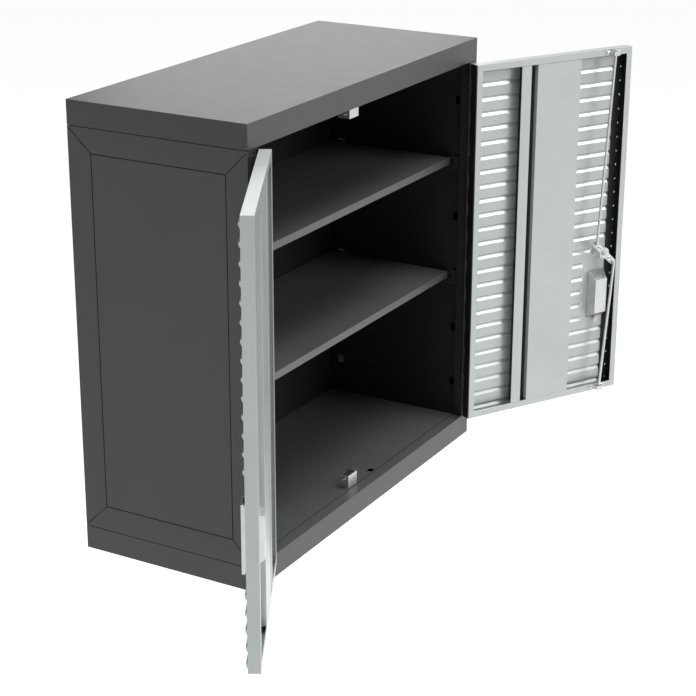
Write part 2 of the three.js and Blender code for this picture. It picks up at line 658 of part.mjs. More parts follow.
function makeCam() {
  const top = CAM_V + CAM_SHEET;
  const disc = lockBar(CAM_V, top, 11, 16);
  const arms = [];
  const eyes = [];
  for (const side of [1, -1]) {
    const [x, z] = camPivot(side);
    const along = new THREE.Vector2(x - LOCK_U, z - LOCK_Z).normalize();
    const across = [-along.y * CAM_EYE, along.x * CAM_EYE];
    const corners = [];
    for (const [px, pz] of [[LOCK_U, LOCK_Z], [x, z]])
      for (const sign of [1, -1])
        for (const v of [CAM_V, top])
          corners.push(new THREE.Vector3(px + sign * across[0], v, pz + sign * across[1]));
    arms.push(solid(new ConvexGeometry(corners)), bar([x, CAM_V, z], [x, top, z], CAM_EYE, 12));
    eyes.push(bar([x, CAM_V - 1, z], [x, top + 1, z], HOOK_RADIUS + GAP, 12));
  }
  return cut(join(disc, ...arms), ...eyes, lockBar(CAM_V - 1, top + 1, STUB_RADIUS + GAP, 12));
}

function makeCamNut() {
  const face = CAM_V + CAM_SHEET + GAP;
  return cut(lockBar(face, face + 3, 6.5, 6), lockBar(face - 1, face + 4, STUB_RADIUS + GAP, 12));
}

const guideMiddle = (side) =>
  side > 0 ? DOOR_TOP - DOOR_LIP / 2 - 1 : DOOR_BOTTOM + DOOR_LIP / 2 + 1;

// A rod: a straight bar from its cam pivot through its guide, with a hook through the cam's eye.
function makeRod(side) {
  const [x, z] = camPivot(side);
  const end = side > 0 ? DOOR_TOP - ROD_TOP_GAP : DOOR_BOTTOM + ROD_BOTTOM_GAP;
  const lean = (LOCK_U - x) / (guideMiddle(side) - z);
  const tip = [x + lean * (end - z), ROD_BACK, end];
  const hook = bar([x, CAM_V - 2, z], [x, ROD_BACK, z], HOOK_RADIUS, 10);
  return join(bar([x, ROD_BACK, z], tip, ROD_RADIUS, 10), hook);
}

// A strap over the rod, with a foot each side on the door's lip.
function makeGuide(side) {
  const base = DOOR_BACK + GAP + GUIDE_SHEET / 2;
  const top = ROD_BACK + ROD_RADIUS + 1 + GUIDE_SHEET / 2;
  const half = GUIDE_INNER / 2 + GUIDE_SHEET / 2;
  const line = [
    [LOCK_U - half - GUIDE_FOOT, base],
    [LOCK_U - half, base],
    [LOCK_U - half, top],
    [LOCK_U + half, top],
    [LOCK_U + half, base],
    [LOCK_U + half + GUIDE_FOOT, base],
  ];
  const low = guideMiddle(side) - GUIDE_HEIGHT / 2;
  return alongZ(folded(line, GUIDE_SHEET), low, low + GUIDE_HEIGHT);
}

// ---------------------------------------------------------------- assembly
const sides = [
  { name: "left", sign: -1, open: LEFT_OPEN },
  { name: "right", sign: 1, open: RIGHT_OPEN },
];

function makeBody() {
  const group = new THREE.Group();
  group.add(piece("lid", makeCap(fromTop), finishes.body));
  group.add(piece("base", makeCap(fromBottom), finishes.body));
  group.add(piece("back_panel", makeBackPanel(), finishes.interior));
  group.add(piece("floor_panel", makeCover(fromBottom), finishes.interior));
  group.add(piece("ceiling_panel", makeCover(fromTop), finishes.interior));
  group.add(piece("upper_hanging_rail", makeHangingRail(UPPER_RAIL_Z), finishes.zinc));
  group.add(piece("lower_hanging_rail", makeHangingRail(LOWER_RAIL_Z), finishes.zinc));
  for (const { name, sign } of sides) {
    const mirrored = sign > 0;
    group.add(piece(`${name}_side_panel`, makeSidePanel(), finishes.body, mirrored));
    group.add(piece(`${name}_liner`, makeLiner(), finishes.interior, mirrored));
  }
  return group;
}

function makeShelves() {
  const group = new THREE.Group();
  for (const [height, level] of Object.entries(SHELF_LEVELS)) {
    group.add(piece(`${height}_shelf`, makeShelf(level), finishes.interior));
    for (const { name, sign } of sides)
      for (const end of Object.keys(SLOT_YS)) {
        const clipName = `${height}_shelf_clip_${name}_${end}`;
        group.add(piece(clipName, makeClip(level, end), finishes.interior, sign > 0));
      }
  }
  return group;
}

function makeCatches() {
  const group = new THREE.Group();
  for (const [height, place] of Object.entries(catchPlaces)) {
    group.add(piece(`${height}_catch_bracket`, makeCatchBracket(place), finishes.zinc));
    group.add(piece(`${height}_catch_magnet`, makeMagnet(place), finishes.black));
    group.add(piece(`${height}_catch_pin`, catchPinBar(place, CATCH_PIN_RADIUS), finishes.zinc));
  }
  return group;
}

// What hangs on one hinge axis: the fixed leaf and the pin stay, the door turns about the axis.
function makeDoorSide({ name, sign, open }) {
  const mirrored = sign > 0;
  const axis = new THREE.Group();
  axis.position.set(sign * PIN_X, -PIN_FORWARD, 0);
  const fixedLeaf = makeLeaf(0, -PIN_INSET + GAP, PIN_FORWARD + LEAF_WIDTH);
  axis.add(piece(`${name}_frame_hinge_leaf`, fixedLeaf, finishes.zinc, mirrored));
  axis.add(piece(`${name}_hinge_pin`, makeHingePin(), finishes.zinc, mirrored));
  const door = new THREE.Group();
  door.rotation.z = sign * degrees(open);
  door.add(piece(`${name}_door_skin`, makeDoorSkin(mirrored), finishes.door, mirrored));
  door.add(piece(`${name}_door_stiffener`, makeStiffener(), finishes.door, mirrored));
  door.add(piece(`${name}_edge_strip`, makeEdgeStrip(), finishes.black, mirrored));
  door.add(piece(`${name}_door_hinge_leaf`, makeDoorLeaf(), finishes.zinc, mirrored));
  door.add(piece(`${name}_pull_pan`, makePan(), finishes.zinc, mirrored));
  door.add(piece(`${name}_pull_lever`, makeLever(), finishes.zinc, mirrored));
  door.add(piece(`${name}_pull_pin`, makePullPin(), finishes.zinc, mirrored));
  door.add(piece(`${name}_pan_nut`, makePanNut(), finishes.zinc, mirrored));
  if (mirrored) addLock(door, mirrored);
  axis.add(door);
  return axis;
}

function addLock(door, mirrored) {
  door.add(piece("lock_housing", makeLockHousing(), finishes.zinc, mirrored));
  door.add(piece("lock_ring_nut", makeRingNut(), finishes.zinc, mirrored));
  door.add(piece("lock_plug", makePlug(), finishes.zinc, mirrored));
  door.add(piece("lock_cam", makeCam(), finishes.zinc, mirrored));
  door.add(piece("lock_cam_nut", makeCamNut(), finishes.zinc, mirrored));
  for (const [height, side] of [["upper", 1], ["lower", -1]]) {
    door.add(piece(`${height}_lock_rod`, makeRod(side), finishes.zinc, mirrored));
    door.add(piece(`${height}_rod_guide`, makeGuide(side), finishes.zinc, mirrored));
  }
}

const cabinet = new THREE.Group();
const standing = new THREE.Group(); // the same pieces measured from the front face and the underside
standing.position.set(0, -DEPTH, -UPPER_RAIL_Z);
standing.add(makeBody(), makeShelves(), makeCatches(), ...sides.map(makeDoorSide));
cabinet.add(standing);

export default cabinet;
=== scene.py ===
# %% [markdown]
# # A wall cabinet of folded steel
# The object is a hanging steel cabinet with two ribbed doors. Its real shapes and joints come from a packed
# model, so this lesson adds what that model leaves out: paint, plating, pressed edges, rivets and screws.
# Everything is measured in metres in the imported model's own frame, so nothing that comes from it is moved.

import json
import math

import bpy
from mathutils import Matrix, Vector


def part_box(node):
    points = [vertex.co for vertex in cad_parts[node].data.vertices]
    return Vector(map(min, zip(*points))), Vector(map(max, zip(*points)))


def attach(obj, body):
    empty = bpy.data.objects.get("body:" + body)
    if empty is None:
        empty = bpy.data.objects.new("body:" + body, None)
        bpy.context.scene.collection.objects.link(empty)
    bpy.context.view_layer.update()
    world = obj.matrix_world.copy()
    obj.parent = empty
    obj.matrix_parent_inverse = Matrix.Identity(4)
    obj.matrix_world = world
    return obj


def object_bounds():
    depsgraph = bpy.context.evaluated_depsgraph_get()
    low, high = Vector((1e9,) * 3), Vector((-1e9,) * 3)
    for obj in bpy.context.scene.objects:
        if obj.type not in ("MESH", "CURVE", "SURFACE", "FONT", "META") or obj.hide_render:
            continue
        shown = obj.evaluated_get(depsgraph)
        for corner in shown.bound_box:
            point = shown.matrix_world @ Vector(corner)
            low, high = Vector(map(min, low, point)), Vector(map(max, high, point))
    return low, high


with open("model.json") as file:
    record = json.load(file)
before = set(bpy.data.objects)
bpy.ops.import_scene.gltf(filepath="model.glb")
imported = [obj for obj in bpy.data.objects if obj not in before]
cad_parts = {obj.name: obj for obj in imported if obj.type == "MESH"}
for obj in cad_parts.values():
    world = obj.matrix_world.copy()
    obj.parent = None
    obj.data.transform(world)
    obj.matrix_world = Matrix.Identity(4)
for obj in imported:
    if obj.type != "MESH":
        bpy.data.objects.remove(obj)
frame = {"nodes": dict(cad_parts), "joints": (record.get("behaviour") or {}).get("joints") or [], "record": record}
nodes = frame["nodes"]
joints = {joint["name"]: joint for joint in frame["joints"]}
frame_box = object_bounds()

# %% [markdown]
# ## Two small helpers
# Operators work on the active object, so every step first clears the selection and picks one piece. Pieces
# on an open door stand at an angle, so a door needs directions of its own: along it from the hinge,
# inwards through it, and up. The record gives them: the pull turns about an axis that lies along the door.


# %% Pick one object, and read a door's own directions
def pick(obj):
    bpy.ops.object.select_all(action="DESELECT")
    obj.select_set(True)
    bpy.context.view_layer.objects.active = obj


class Door:
    def __init__(self, side):
        self.side = side
        self.body = f"{side}_door"
        self.hinge = Vector(joints[f"{side}_door_hinge"]["pos_m"])
        pull = joints[f"{side}_pull_hinge"]
        reach = Vector(pull["pos_m"]) - self.hinge
        along = Vector(pull["axis"]).normalized()
        self.along = along if along.dot(reach) > 0 else -along
        inward = Vector((-self.along.y, self.along.x, 0))
        self.inward = inward if inward.dot(reach) < 0 else -inward

    def point(self, u, v, z):
        return Vector((self.hinge.x, self.hinge.y, z)) + self.along * u + self.inward * v

    def corners(self, node):
        """A node's vertices as distance along the door, depth through it, and height."""
        found = []
        for vertex in nodes[node].data.vertices:
            from_hinge = vertex.co - self.hinge
            found.append((from_hinge.dot(self.along), from_hinge.dot(self.inward), vertex.co.z))
        return found

    def extent(self, node):
        return [(min(axis), max(axis)) for axis in zip(*self.corners(node))]


doors = {side: Door(side) for side in ("left", "right")}
print("the left door runs along", [round(x, 3) for x in doors["left"].along])

# %% [markdown]
# ## Paint that isn't quite even
# Powder coat is sprayed dry and melted in an oven. It comes out with a faint orange-peel surface, and its
# gloss wanders a little. A flat colour would look like plastic. An image texture would need unwrapping, and
# would show its size up close, so noise in object coordinates is the better choice. It is made once, as a
# node group with named inputs, and every painted material uses it with its own numbers.


# %% A helper for node groups
def new_group(name, inputs, outputs):
    group = bpy.data.node_groups.new(name, "ShaderNodeTree")
    for label, kind, value in inputs:
        socket = group.interface.new_socket(label, in_out="INPUT", socket_type=kind)
        if value is not None:
            socket.default_value = value
    for label, kind in outputs:
        group.interface.new_socket(label, in_out="OUTPUT", socket_type=kind)
    start = group.nodes.new("NodeGroupInput")
    end = group.nodes.new("NodeGroupOutput")
    start.location, end.location = (-900, 0), (500, 0)
    return group, start, end


def scaled_noise(tree, coordinates, scale, detail=3.0):
    noise = tree.nodes.new("ShaderNodeTexNoise")
    noise.inputs["Detail"].default_value = detail
    tree.links.new(coordinates, noise.inputs["Vector"])
    if isinstance(scale, (int, float)):
        noise.inputs["Scale"].default_value = scale
    else:
        tree.links.new(scale, noise.inputs["Scale"])
    return noise.outputs["Fac"]


def spread(tree, value, low, high):
    """Map noise between 0.35 and 0.65 to a range whose ends may be sockets or numbers."""
    ranged = tree.nodes.new("ShaderNodeMapRange")
    ranged.inputs["From Min"].default_value = 0.35
    ranged.inputs["From Max"].default_value = 0.65
    tree.links.new(value, ranged.inputs["Value"])
    for label, end in (("To Min", low), ("To Max", high)):
        if isinstance(end, (int, float)):
            ranged.inputs[label].default_value = end
        else:
            tree.links.new(end, ranged.inputs[label])
    return ranged.outputs["Result"]


print("helpers ready")


# %% The powder coat group
def make_powder_coat():
    group, start, end = new_group(
        "Powder coat",
        [
            ("Coordinates", "NodeSocketVector", None),
            ("Colour", "NodeSocketColor", (0.5, 0.5, 0.5, 1)),
            ("Cloudiness", "NodeSocketFloat", 0.1),
            ("Roughness", "NodeSocketFloat", 0.4),
            ("Gloss drift", "NodeSocketFloat", 0.02),
            ("Peel size", "NodeSocketFloat", 900.0),
            ("Peel depth", "NodeSocketFloat", 0.1),
        ],
        [("Colour", "NodeSocketColor"), ("Roughness", "NodeSocketFloat"), ("Normal", "NodeSocketVector")],
    )
    place = start.outputs["Coordinates"]
    clouds = scaled_noise(group, place, 7.0)
    mix = group.nodes.new("ShaderNodeMix")
    mix.data_type = "RGBA"
    mix.blend_type = "MULTIPLY"
    group.links.new(start.outputs["Cloudiness"], mix.inputs["Factor"])
    group.links.new(start.outputs["Colour"], mix.inputs["A"])
    shade = spread(group, clouds, 0.55, 1.0)
    group.links.new(shade, mix.inputs["B"])
    group.links.new(mix.outputs["Result"], end.inputs["Colour"])
    patches = spread(group, scaled_noise(group, place, 23.0), 0.0, start.outputs["Gloss drift"])
    add = group.nodes.new("ShaderNodeMath")
    group.links.new(patches, add.inputs[0])
    group.links.new(start.outputs["Roughness"], add.inputs[1])
    group.links.new(add.outputs[0], end.inputs["Roughness"])
    bump = group.nodes.new("ShaderNodeBump")
    bump.inputs["Distance"].default_value = 0.0002
    group.links.new(start.outputs["Peel depth"], bump.inputs["Strength"])
    peel = scaled_noise(group, place, start.outputs["Peel size"], detail=1.5)
    group.links.new(peel, bump.inputs["Height"])
    group.links.new(bump.outputs["Normal"], end.inputs["Normal"])
    return group


powder_coat = make_powder_coat()
sockets = powder_coat.interface.items_tree
print(powder_coat.name, "has inputs", [socket.name for socket in sockets if socket.in_out == "INPUT"])

# %% [markdown]
# ## Bright zinc
# Rods, brackets and hinges are zinc plated. The plating is metallic, slightly cloudy, and its passivation
# leaves faint bluish and yellowish tints. The drawn wire and the rolled strip under it show as fine streaks
# along the length, so the noise is stretched before it is used.


# %% The plating group
def make_plating():
    group, start, end = new_group(
        "Zinc plating",
        [
            ("Coordinates", "NodeSocketVector", None),
            ("Cool", "NodeSocketColor", (0.6, 0.625, 0.63, 1)),
            ("Warm", "NodeSocketColor", (0.66, 0.665, 0.64, 1)),
            ("Roughness", "NodeSocketFloat", 0.28),
        ],
        [("Colour", "NodeSocketColor"), ("Roughness", "NodeSocketFloat"), ("Normal", "NodeSocketVector")],
    )
    place = start.outputs["Coordinates"]
    tint = spread(group, scaled_noise(group, place, 28.0), 0.0, 1.0)
    mix = group.nodes.new("ShaderNodeMix")
    mix.data_type = "RGBA"
    group.links.new(tint, mix.inputs["Factor"])
    group.links.new(start.outputs["Cool"], mix.inputs["A"])
    group.links.new(start.outputs["Warm"], mix.inputs["B"])
    group.links.new(mix.outputs["Result"], end.inputs["Colour"])
    stretch = group.nodes.new("ShaderNodeMapping")
    stretch.inputs["Scale"].default_value = (1, 1, 0.05)
    group.links.new(place, stretch.inputs["Vector"])
    streaks = scaled_noise(group, stretch.outputs["Vector"], 1500.0)
    rough = spread(group, streaks, -0.06, 0.1)
    add = group.nodes.new("ShaderNodeMath")
    group.links.new(rough, add.inputs[0])
    group.links.new(start.outputs["Roughness"], add.inputs[1])
    group.links.new(add.outputs[0], end.inputs["Roughness"])
    bump = group.nodes.new("ShaderNodeBump")
    bump.inputs["Strength"].default_value = 0.06
    bump.inputs["Distance"].default_value = 0.0001
    group.links.new(streaks, bump.inputs["Height"])
    group.links.new(bump.outputs["Normal"], end.inputs["Normal"])
    return group


plating = make_plating()
print(plating.name, "ready")

# %% [markdown]
# ## One material for each finish
# The Principled shader stays outside the groups, and what never varies, such as how metallic the paint is,
# is set on its sockets. The charcoal body is a satin paint that mirrors a bright room at a shallow angle.
# The silver door paint holds metal flakes, so it is partly metallic.


# %% Make the materials
def make_material(name, group, settings, metallic, coat=0.0):
    material = bpy.data.materials.new(name)
    material.use_nodes = True
    tree = material.node_tree
    shader = tree.nodes["Principled BSDF"]
    effect = tree.nodes.new("ShaderNodeGroup")
    effect.node_tree = group
    effect.location = (-300, 0)
    place = tree.nodes.new("ShaderNodeTexCoord")
    place.location = (-600, 0)
    tree.links.new(place.outputs["Object"], effect.inputs["Coordinates"])
    for label, value in settings.items():
        effect.inputs[label].default_value = value
    tree.links.new(effect.outputs["Colour"], shader.inputs["Base Color"])
    tree.links.new(effect.outputs["Roughness"], shader.inputs["Roughness"])
    tree.links.new(effect.outputs["Normal"], shader.inputs["Normal"])
    shader.inputs["Metallic"].default_value = metallic
    shader.inputs["Coat Weight"].default_value = coat
    shader.inputs["Coat Roughness"].default_value = 0.25
    return material


def paint(name, colour, roughness, metallic, cloudiness=0.25, coat=0.0):
    settings = {"Colour": (*colour, 1), "Roughness": roughness, "Cloudiness": cloudiness, "Peel depth": 0.25}
    return make_material(name, powder_coat, settings, metallic, coat)


finishes = {
    "body_paint": paint("charcoal powder coat", (0.03, 0.0313, 0.03), 0.4, 0.0, coat=0.2),
    "interior_paint": paint("black powder coat", (0.0045, 0.0048, 0.0045), 0.55, 0.0),
    # painted light: a lighter copy of the inside's paint, for the upward faces of the shelves and the floor
    "lit_copy_paint": paint("inside paint with painted light", (0.062, 0.065, 0.062), 0.36, 0.0, coat=0.2),
    "door_paint": paint("silver door paint", (0.46, 0.49, 0.48), 0.3, 0.5, cloudiness=0.12),
    "strip": paint("black edge strip", (0.004, 0.0042, 0.0042), 0.6, 0.0),
    # painted shade: a near-black for the lines along the side panels' folds
    "fold_shade": paint("painted fold shade", (0.002, 0.002, 0.002), 0.9, 0.0),
    "zinc": make_material("bright zinc", plating, {"Roughness": 0.3}, 0.85),
    "chrome": make_material("bright screws", plating, {"Roughness": 0.12, "Warm": (0.7, 0.71, 0.7, 1)}, 1.0),
}
print("materials:", sorted(finishes))

# %% [markdown]
# ## Paint the imported pieces and soften their edges
# Sheet steel folds to a small radius, and paint rounds every edge a little more. Those rounded edges catch
# the light as thin bright lines, which is what makes metal look real. The imported pieces are triangles with
# hard edges and keep their vertices, so the rounding is a stack of modifiers: weld the split corners,
# dissolve the flat triangles into faces, then bevel what is left. Thin pieces get a thinner bevel. Where a
# bevel has no room, the last modifier splits the edge, so that its two faces keep their own shading.


# %% Weld, dissolve, bevel and split
def soften(obj, width, angle):
    pick(obj)
    bpy.ops.mesh.customdata_custom_splitnormals_clear()
    bpy.ops.object.shade_smooth()
    bpy.ops.object.modifier_add(type="WELD")
    obj.modifiers[-1].merge_threshold = 0.00002
    bpy.ops.object.modifier_add(type="DECIMATE")
    flat = obj.modifiers[-1]
    flat.decimate_type = "DISSOLVE"
    flat.angle_limit = math.radians(0.6)
    bpy.ops.object.modifier_add(type="BEVEL")
    bevel = obj.modifiers[-1]
    bevel.width = width
    bevel.segments = 2
    bevel.limit_method = "ANGLE"
    bevel.angle_limit = math.radians(angle)
    bevel.harden_normals = True
    bevel.use_clamp_overlap = True
    bpy.ops.object.modifier_add(type="EDGE_SPLIT")
    obj.modifiers[-1].split_angle = math.radians(42)


WIDTHS = {
    "body_paint": 0.0004,
    "interior_paint": 0.0004,
    "door_paint": 0.0004,
    "zinc": 0.0002,
    "strip": 0.0003,
}
FOLD_ANGLE = 16  # degrees; the ribs' slopes are the shallowest folds that are rounded
ROUND_ANGLE = 50  # degrees; a turned piece has facets that must stay as they are
ROUND_WORDS = ("pin", "rod", "plug", "housing", "hinge_leaf")
slots = {part["node"]: part["material_slot"] for part in frame["record"]["subparts"]}
# painted light: these pieces take the lighter copy of the inside's paint, as their tops catch the lamps
PAINTED_LIGHT_PIECES = ("upper_shelf", "lower_shelf", "floor_panel")  # lighter than the walls behind them
DARK = ("left_door_hinge_leaf", "right_door_hinge_leaf")  # sprayed with the cabinet
for name, obj in nodes.items():
    finish = "lit_copy_paint" if name in PAINTED_LIGHT_PIECES else "interior_paint" if name in DARK else slots[name]
    obj.data.materials.clear()
    obj.data.materials.append(finishes[finish])
    round_piece = any(word in name for word in ROUND_WORDS)
    soften(obj, WIDTHS[slots[name]], ROUND_ANGLE if round_piece else FOLD_ANGLE)
print("softened", len(nodes), "pieces")

# %% [markdown]
# ## The frame's hinge leaf is painted with the body
# The frame's leaf was sprayed with the cabinet after it was welded on, so its plate and its knuckles are
# dark. Inside the knuckles the paint didn't reach. One mesh can hold two materials, and each face chooses by
# its index. Only the faces near the hinge axis keep the plating.


# %% Two materials on one leaf
def paint_plate(node, axis_point, reach):
    mesh = nodes[node].data
    mesh.materials.append(finishes["interior_paint"])
    painted = 0
    for face in mesh.polygons:
        offset = face.center - axis_point
        if math.hypot(offset.x, offset.y) > reach:
            face.material_index = 1
            painted += 1
    return painted


for side, door in doors.items():
    print(side, "leaf:", paint_plate(f"{side}_frame_hinge_leaf", door.hinge, 0.0021), "painted faces")

# %% [markdown]
# ## Painted shade inside the side panels, and painted light on the base's flange
# The hollow between a side panel and its liner shows through the clip slots, and its shade is painted: the
# faces of the side panel that look inward take the inside's black paint, so the hollow looks black. The
# flange in front of the floor takes the floor's lighter copy of that paint, the same painted light, so that
# the two read as one surface.


# %% Paint the faces that look one way
def paint_facing(node, direction, finish):
    mesh = nodes[node].data
    mesh.materials.append(finishes[finish])
    found = [face for face in mesh.polygons if face.normal.dot(Vector(direction)) > 0.9]
    for face in found:
        face.material_index = 1
    return len(found)


# painted shade: the side panels' inward faces take the inside's black, so the hollow behind the clip slots looks
# dark
paint_facing("left_side_panel", (1, 0, 0), "interior_paint")
paint_facing("right_side_panel", (-1, 0, 0), "interior_paint")
# painted light: the base's upward flange takes the lighter copy of the inside's paint, like the floor
print("faces on the base's flange:", paint_facing("base", (0, 0, 1), "lit_copy_paint"))

# %% [markdown]
# ## Painted shade along the folds of the pressed panels
# Each side is a middle panel framed by four mitred strips, and the folds between them show as thin dark
# lines of shade. A groove would need a boolean on an imported piece. Here the shade is painted: a dark bead
# laid along each fold gives the same line. Each bead is a thin box between two points.


# %% A thin box between two points
def make_bead(start, end, width, height, outward):
    run = Vector(end) - Vector(start)
    bpy.ops.mesh.primitive_cube_add(size=1)
    bead = bpy.context.object
    bead.scale = (run.length, width, height)
    bpy.ops.object.transform_apply(location=False, rotation=False, scale=True)
    ahead = run.normalized()
    across = Vector(outward).cross(ahead).normalized()
    upward = ahead.cross(across)
    turn = Matrix((ahead, across, upward)).transposed().to_4x4()
    bead.matrix_world = Matrix.Translation((Vector(start) + Vector(end)) / 2) @ turn
    return bead


def finish_piece(name, parts, body, finish):
    """Join the parts, put the origin at the world's, and hang the piece on its body."""
    bpy.ops.object.select_all(action="DESELECT")
    for part in parts:
        part.select_set(True)
    bpy.context.view_layer.objects.active = parts[0]
    if len(parts) > 1:
        bpy.ops.object.join()
    bpy.ops.object.transform_apply(location=True, rotation=True, scale=True)
    piece = bpy.context.object
    piece.name = name
    piece.data.materials.clear()
    piece.data.materials.append(finishes[finish])
    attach(piece, body)
    return piece


def panel_corners(node, face_x, inward):
    """The depth of a pressed panel's middle, and the spans across and up of its deepest vertices."""
    points = [vertex.co for vertex in nodes[node].data.vertices]
    depth = max(inward * (p.x - face_x) for p in points if inward * (p.x - face_x) < 0.0031)
    deepest = [p for p in points if abs(inward * (p.x - face_x) - depth) < 0.00005]
    ys, zs = [p.y for p in deepest], [p.z for p in deepest]
    return depth, (min(ys), max(ys)), (min(zs), max(zs))


def add_painted_fold_shade(name, node, face_x, inward, border):
    depth, (y0, y1), (z0, z1) = panel_corners(node, face_x, inward)
    inner = [Vector((face_x + inward * depth, y, z)) for y, z in ((y0, z0), (y1, z0), (y1, z1), (y0, z1))]
    low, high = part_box(node)
    outer = [Vector((face_x, y, z)) for y, z in ((y0 - border, z0 - border), (y1 + border, z0 - border),
                                                 (y1 + border, z1 + border), (y0 - border, z1 + border))]
    outer = [Vector((p.x, min(max(p.y, low.y), high.y), min(max(p.z, low.z), high.z))) for p in outer]
    away = (-inward, 0, 0)
    # painted shade: a dark bead along each fold of the pressed panel
    beads = [make_bead(inner[i], inner[(i + 1) % 4], 0.0014, 0.0005, away) for i in range(4)]
    beads += [make_bead(a, b, 0.0012, 0.0005, away) for a, b in zip(inner, outer)]
    return finish_piece(name, beads, "cabinet", "fold_shade")


for side, sign in (("left", -1), ("right", 1)):
    skin = f"{side}_side_panel"
    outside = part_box(skin)[0].x if sign < 0 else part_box(skin)[1].x
    add_painted_fold_shade(f"{side}_painted_fold_shade", skin, outside, -sign, 0.037)
print("painted fold shade laid on both sides")

# %% [markdown]
# ## Painted shade under the door's stiffener
# The stiffener is a folded sheet that stands off the door. Its open edge and its groove lie in shade, and
# that shade is painted: a black strip stands under the open edge and another lies in the groove. They read
# as the dark vertical lines beside the bright strip. Each is one thin box, placed by the stiffener's own folds.

# %% Strips of painted shade
EDGE_INSET = 0.0085  # from the stiffener's edge to the middle of its first strip
GROOVE_INSET = 0.0335
for side, door in doors.items():
    (first, _), (v0, v1), (z0, z1) = door.extent(f"{side}_door_stiffener")
    skin_v = v0 - 0.0003
    folds = sorted({round(u, 4) for u, v, z in door.corners(f"{side}_door_stiffener")})
    middle_v = (skin_v + v1) / 2
    edge = first + EDGE_INSET
    strips = [make_bead(door.point(edge, middle_v, z0), door.point(edge, middle_v, z1), 0.0025,
                        v1 - skin_v - 0.0025, door.inward)]
    groove = first + GROOVE_INSET
    groove_v = v0 + 0.0055
    low_end, high_end = (door.point(groove, groove_v, z) for z in (z0, z1))
    strips.append(make_bead(low_end, high_end, 0.0035, 0.008, door.inward))
    # painted shade: black strips where the stiffener's hollow and groove fall into shade
    finish_piece(f"{side}_foam", strips, door.body, "strip")
    print(side, "stiffener folds at", [round(u * 1000) for u in folds][:6], "mm")

# %% [markdown]
# ## Fasteners
# A row of blind rivets holds each black edge strip, one behind every rib. A rivet head is a shallow dome, so
# a squashed sphere cut in half is enough. Screws are the same dome with a cross cut by a boolean. Each is
# made once at the origin, copied to its places, then joined into one piece that rides on its body.


# %% The dome, the rivet and the screw
def make_dome(radius, height):
    bpy.ops.mesh.primitive_uv_sphere_add(segments=28, ring_count=14, radius=1)
    dome = bpy.context.object
    dome.scale = (radius, radius, height)
    bpy.ops.object.transform_apply(location=False, rotation=False, scale=True)
    bpy.ops.object.mode_set(mode="EDIT")
    bpy.ops.mesh.select_all(action="SELECT")
    bpy.ops.mesh.bisect(plane_co=(0, 0, 0), plane_no=(0, 0, 1), clear_inner=True, use_fill=True)
    bpy.ops.mesh.select_all(action="SELECT")
    bpy.ops.mesh.normals_make_consistent(inside=False)
    bpy.ops.object.mode_set(mode="OBJECT")
    return dome


def cut_away(target, cutter):
    pick(target)
    bpy.ops.object.modifier_add(type="BOOLEAN")
    target.modifiers[-1].operation = "DIFFERENCE"
    target.modifiers[-1].object = cutter
    bpy.ops.object.modifier_apply(modifier=target.modifiers[-1].name)
    pick(cutter)
    bpy.ops.object.delete()


def make_screw(radius, height):
    dome = make_dome(radius, height)
    for sizes in ((1.1, 0.26), (0.26, 1.1)):
        bpy.ops.mesh.primitive_cube_add(size=1, location=(0, 0, height))
        bar = bpy.context.object
        bar.scale = (sizes[0] * radius, sizes[1] * radius, height * 1.1)
        bpy.ops.object.transform_apply(location=True, rotation=False, scale=True)
        cut_away(dome, bar)
    return dome


def make_rivet(radius, height):
    dome = make_dome(radius, height)
    bore = radius * 0.38
    bpy.ops.mesh.primitive_cylinder_add(vertices=16, radius=bore, depth=height, location=(0, 0, height))
    cut_away(dome, bpy.context.object)
    return dome


def facing(outward):
    """A rotation whose Z axis points along outward."""
    return Vector(outward).to_track_quat("Z", "Y").to_matrix().to_4x4()


def scatter(name, pattern, places, body, finish):
    """Copies of a pattern, joined into one piece with its origin at the world's."""
    copies = []
    for point, outward in places:
        pick(pattern)
        bpy.ops.object.duplicate()
        copy = bpy.context.object
        copy.matrix_world = Matrix.Translation(point) @ facing(outward)
        copies.append(copy)
    pick(pattern)
    bpy.ops.object.delete()
    bpy.ops.object.select_all(action="DESELECT")
    for copy in copies:
        copy.select_set(True)
    bpy.context.view_layer.objects.active = copies[0]
    if len(copies) > 1:
        bpy.ops.object.join()
    bpy.ops.object.transform_apply(location=True, rotation=True, scale=True)
    bpy.ops.object.shade_smooth_by_angle(angle=math.radians(35))
    piece = bpy.context.object
    piece.name = name
    piece.data.materials.clear()
    piece.data.materials.append(finishes[finish])
    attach(piece, body)
    return piece


print("fastener tools ready")


# %% A rivet behind every rib
def rib_heights(door):
    """Ribs stand out of the door's outer face, so their crests are the skin's outermost vertices."""
    corners = door.corners(f"{door.side}_door_skin")
    crest = min(v for _, v, _ in corners)
    heights = sorted({round(z, 4) for _, v, z in corners if v < crest + 0.0002})
    return [(low + high) / 2 for low, high in zip(heights[::2], heights[1::2])]


STRIP_SHEET = 0.0015
for door in doors.values():
    (strip_start, strip_end), (strip_face, _), _ = door.extent(f"{door.side}_edge_strip")
    u = strip_start + 0.6 * (strip_end - strip_start)
    places = [(door.point(u, strip_face + STRIP_SHEET, z), door.inward) for z in rib_heights(door)]
    scatter(f"{door.side}_strip_rivets", make_rivet(0.0024, 0.0011), places, door.body, "chrome")
    print(door.side, "door has", len(places), "strip rivets")


# %% [markdown]
# ## Screws on the lock guides and the catches, and rivets on the cam
# Each guide strap has a foot at either end with a screw through it. Each catch stands on the floor or hangs
# from the ceiling panel, and screws in its foot hold it. The cam carries two rivets beside its pivots. Their
# places come from the pieces that they hold.


